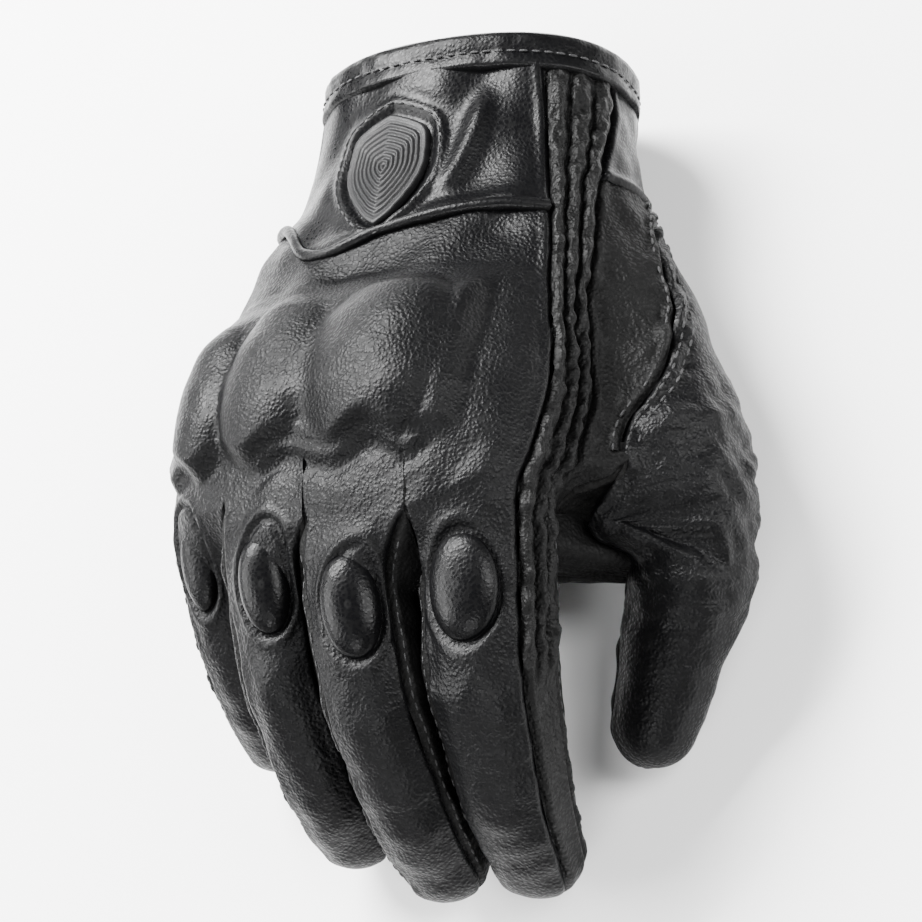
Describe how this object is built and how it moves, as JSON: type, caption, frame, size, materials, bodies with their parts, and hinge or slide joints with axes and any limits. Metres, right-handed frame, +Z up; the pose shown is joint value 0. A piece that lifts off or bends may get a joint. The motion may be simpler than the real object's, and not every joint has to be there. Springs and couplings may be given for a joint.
{
  "type": "riding glove",
  "caption": "Short-cuff black leather riding glove for the right hand, with a domed knuckle guard, oval finger pads, stretch ribs and a closing tab, lying palm down in a relaxed curl.",
  "frame": {"origin": "middle of the glove's footprint, on the table it lies on", "axes": "+X towards the thumb, +Y from the fingertips to the wrist opening, +Z up out of the back of the hand"},
  "size_m": [0.1422, 0.2038, 0.0783],
  "materials": {
    "smooth_leather": "semi-gloss black goatskin",
    "grain_leather": "fine-grained black goatskin",
    "palm_leather": "softer matt black goatskin",
    "guard_shell": "moulded hard shell under leather",
    "foam": "closed-cell foam",
    "badge_rubber": "satin moulded rubber",
    "stretch": "elastic backing",
    "hook_loop": "hook and loop tape",
    "heel_slider": "textured hard slider"
  },
  "bodies": {
    "hand": {"back_panel": "smooth_leather", "cuff_back": "grain_leather", "cuff_binding": "grain_leather", "cuff_palm": "palm_leather", "cuff_side": "grain_leather", "cuff_welt": "grain_leather", "emblem_backing": "grain_leather", "emblem_badge": "badge_rubber", "fork_index_middle": "grain_leather", "fork_middle_ring": "grain_leather", "fork_ring_little": "grain_leather", "guard_foam": "foam", "heel_pad": "heel_slider", "knuckle_guard": "guard_shell", "loop_patch": "hook_loop", "palm_panel": "palm_leather", "palm_patch": "palm_leather", "rib_backing": "stretch", "side_gusset": "grain_leather", "strap_anchor": "palm_leather", "stretch_ribs": "grain_leather", "thumb_root_inner": "palm_leather", "thumb_root_outer": "grain_leather", "wrist_elastic": "stretch"},
    "strap": {"closure_strap": "palm_leather", "hook_patch": "hook_loop"},
    "index_base": {"index_base_back": "grain_leather", "index_base_front": "palm_leather", "index_base_sides": "grain_leather", "index_pad": "smooth_leather"},
    "index_tip": {"index_tip_back": "grain_leather", "index_tip_front": "palm_leather", "index_tip_sides": "grain_leather"},
    "little_base": {"little_base_back": "grain_leather", "little_base_front": "palm_leather", "little_base_sides": "grain_leather", "little_pad": "smooth_leather"},
    "little_tip": {"little_tip_back": "grain_leather", "little_tip_front": "palm_leather", "little_tip_sides": "grain_leather"},
    "middle_base": {"middle_base_back": "grain_leather", "middle_base_front": "palm_leather", "middle_base_sides": "grain_leather", "middle_pad": "smooth_leather"},
    "middle_tip": {"middle_tip_back": "grain_leather", "middle_tip_front": "palm_leather", "middle_tip_sides": "grain_leather"},
    "ring_base": {"ring_base_back": "grain_leather", "ring_base_front": "palm_leather", "ring_base_sides": "grain_leather", "ring_pad": "smooth_leather"},
    "ring_tip": {"ring_tip_back": "grain_leather", "ring_tip_front": "palm_leather", "ring_tip_sides": "grain_leather"},
    "thumb_base": {"thumb_base_inner": "palm_leather", "thumb_base_outer": "grain_leather"},
    "thumb_tip": {"thumb_tip_inner": "palm_leather", "thumb_tip_outer": "grain_leather"}
  },
  "joints": [
    {"name": "index_base_bend", "type": "hinge", "parent": "hand", "child": "index_base", "pos_m": [0.01955, -0.02697, 0.05488], "axis": [0.9997, 0.0227, 0], "range_deg": [-8, 30], "stiffness_Nm_per_rad": 0.05},
    {"name": "index_tip_bend", "type": "hinge", "parent": "index_base", "child": "index_tip", "pos_m": [0.02028, -0.05891, 0.04695], "axis": [0.9997, 0.0227, 0], "range_deg": [-8, 50], "stiffness_Nm_per_rad": 0.05},
    {"name": "middle_base_bend", "type": "hinge", "parent": "hand", "child": "middle_base", "pos_m": [-0.01224, -0.0307, 0.0574], "axis": [0.9877, 0.1564, 0], "range_deg": [-8, 30], "stiffness_Nm_per_rad": 0.05},
    {"name": "middle_tip_bend", "type": "hinge", "parent": "middle_base", "child": "middle_tip", "pos_m": [-0.00713, -0.06295, 0.04841], "axis": [0.9877, 0.1564, 0], "range_deg": [-8, 50], "stiffness_Nm_per_rad": 0.05},
    {"name": "ring_base_bend", "type": "hinge", "parent": "hand", "child": "ring_base", "pos_m": [-0.03657, -0.02565, 0.05262], "axis": [0.9903, 0.1392, 0], "range_deg": [-8, 30], "stiffness_Nm_per_rad": 0.05},
    {"name": "ring_tip_bend", "type": "hinge", "parent": "ring_base", "child": "ring_tip", "pos_m": [-0.03221, -0.05665, 0.04264], "axis": [0.9903, 0.1392, 0], "range_deg": [-8, 50], "stiffness_Nm_per_rad": 0.05},
    {"name": "little_base_bend", "type": "hinge", "parent": "hand", "child": "little_base", "pos_m": [-0.05807, -0.01456, 0.04298], "axis": [0.9914, 0.1305, 0], "range_deg": [-8, 30], "stiffness_Nm_per_rad": 0.05},
    {"name": "little_tip_bend", "type": "hinge", "parent": "little_base", "child": "little_tip", "pos_m": [-0.05479, -0.03944, 0.03334], "axis": [0.9914, 0.1305, 0], "range_deg": [-8, 50], "stiffness_Nm_per_rad": 0.05},
    {"name": "thumb_base_bend", "type": "hinge", "parent": "hand", "child": "thumb_base", "pos_m": [0.05148, 0.0014, 0.02457], "axis": [-0.2799, -0.1, 0.9548], "range_deg": [-20, 12], "stiffness_Nm_per_rad": 0.05},
    {"name": "thumb_tip_bend", "type": "hinge", "parent": "thumb_base", "child": "thumb_tip", "pos_m": [0.05575, -0.02498, 0.02146], "axis": [-0.2799, -0.1, 0.9548], "range_deg": [-40, 15], "stiffness_Nm_per_rad": 0.05},
    {"name": "strap_open", "type": "hinge", "parent": "hand", "child": "strap", "pos_m": [-0.01822, 0.0577, 0.00566], "axis": [0, -1, 0], "range_deg": [0, 22], "stiffness_Nm_per_rad": 0.02}
  ]
}
